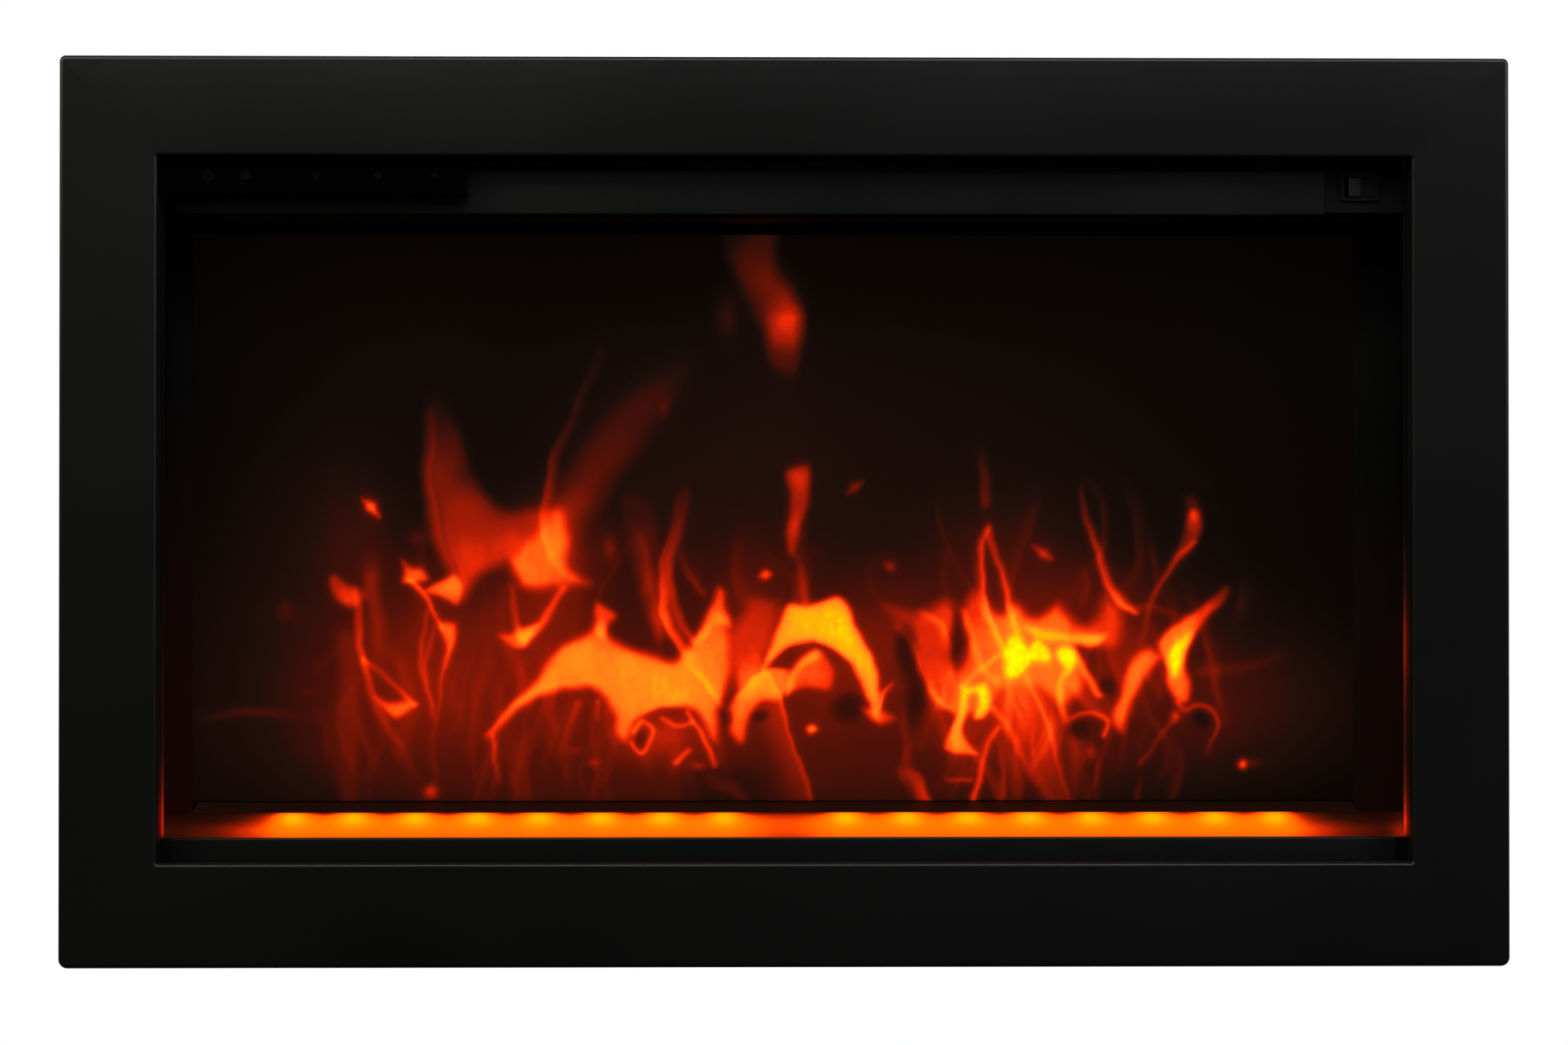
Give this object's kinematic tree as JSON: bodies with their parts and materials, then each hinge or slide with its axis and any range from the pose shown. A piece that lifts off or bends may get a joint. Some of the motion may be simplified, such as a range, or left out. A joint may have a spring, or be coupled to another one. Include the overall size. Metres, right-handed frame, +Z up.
{
  "type": "electric fireplace",
  "caption": "Built-in electric fireplace insert with a flat black steel surround, a lit flame screen, a glowing ember strip, a touch panel and a warm-air slot.",
  "frame": {"origin": "bottom centre of the whole object's box, level with the surround's lower edge and midway between its front face and the casing's back", "axes": "+X to the right seen from the front, +Y from the front face into the wall, +Z up"},
  "size_m": [0.968, 0.211, 0.608],
  "materials": {
    "surround_powder_coat": "satin black powder coat with a very fine orange-peel texture",
    "casing_powder_coat": "semi-matt black powder coat on folded sheet steel",
    "rail_powder_coat": "smooth satin black powder coat",
    "gloss_black_plastic": "polished black acrylic",
    "black_plastic": "fine spark-eroded black moulding",
    "clear_glass": "flat tempered clear glass with a polished edge",
    "flame_screen": "smoked diffusing acrylic with a projected flame picture",
    "frosted_ember_plastic": "frosted amber acrylic, lit from behind",
    "zinc_plated_steel": "zinc-plated sheet steel",
    "aluminium_profile": "bare rolled aluminium",
    "mirror_foil": "polished reflective aluminium foil",
    "ground_steel": "ground steel with fine turning marks",
    "white_circuit_board": "white solder mask",
    "green_circuit_board": "green solder mask",
    "enamelled_copper": "enamelled copper winding under clear tape",
    "sintered_bronze": "oil-filled sintered bronze",
    "mica_board": "pressed mica board",
    "black_rubber": "moulded black rubber"
  },
  "bodies": {
    "casing": {"trim_surround": "surround_powder_coat", "trim_hanger_left": "zinc_plated_steel", "trim_hanger_right": "zinc_plated_steel", "casing_left": "casing_powder_coat", "casing_right": "casing_powder_coat", "casing_top": "casing_powder_coat", "casing_bottom": "casing_powder_coat", "casing_back": "casing_powder_coat", "top_deflector": "rail_powder_coat", "bottom_rail": "rail_powder_coat", "front_glass": "clear_glass", "glass_channel_left": "rail_powder_coat", "glass_channel_right": "rail_powder_coat", "glass_rest_strip": "black_rubber", "screen_frame_left": "black_plastic", "screen_frame_right": "black_plastic", "screen_top_rail": "black_plastic", "flame_screen": "flame_screen", "ember_diffuser": "frosted_ember_plastic", "ember_tray": "gloss_black_plastic", "ember_led_board_left": "white_circuit_board", "ember_led_board_right": "white_circuit_board", "ember_led_holder": "aluminium_profile", "flame_cutout_plate": "casing_powder_coat", "rotor_motor": "zinc_plated_steel", "rotor_motor_bracket": "zinc_plated_steel", "rotor_bush": "sintered_bronze", "rotor_bush_bracket": "zinc_plated_steel", "flame_led_board": "white_circuit_board", "flame_led_carrier": "aluminium_profile", "heater_shelf": "casing_powder_coat", "blower_housing": "zinc_plated_steel", "blower_motor_core": "ground_steel", "blower_motor_coil": "enamelled_copper", "blower_bush": "black_rubber", "heater_core": "aluminium_profile", "heater_frame": "mica_board", "thermal_cutout": "black_plastic", "outlet_grille": "casing_powder_coat", "control_panel": "gloss_black_plastic", "touch_board": "green_circuit_board", "main_board": "green_circuit_board", "switch_bezel": "black_plastic", "switch_body": "black_plastic", "junction_box": "zinc_plated_steel", "junction_box_cover": "zinc_plated_steel", "cable_clamp": "zinc_plated_steel", "terminal_block": "black_plastic", "wiring_loom": "black_rubber"},
    "flame_rotor": {"rotor_shaft": "ground_steel", "rotor_flag_1": "mirror_foil", "rotor_flag_2": "mirror_foil", "rotor_flag_3": "mirror_foil", "rotor_flag_4": "mirror_foil", "rotor_flag_5": "mirror_foil", "rotor_coupling": "black_rubber", "rotor_motor_spindle": "ground_steel"},
    "blower": {"blower_wheel": "aluminium_profile", "blower_motor_rotor": "ground_steel"},
    "rocker": {"switch_rocker": "black_plastic"}
  },
  "joints": [
    {"name": "flame_rotor_spin", "type": "hinge", "parent": "casing", "child": "flame_rotor", "pos_m": [0, 0.0445, 0.118], "axis": [1, 0, 0], "continuous": true},
    {"name": "blower_spin", "type": "hinge", "parent": "casing", "child": "blower", "pos_m": [0.09, 0.0145, 0.538], "axis": [1, 0, 0], "continuous": true},
    {"name": "power_rocker", "type": "hinge", "parent": "casing", "child": "rocker", "pos_m": [0.387, -0.0795, 0.523], "axis": [0, 0, 1], "range_deg": [-18, 0]}
  ]
}
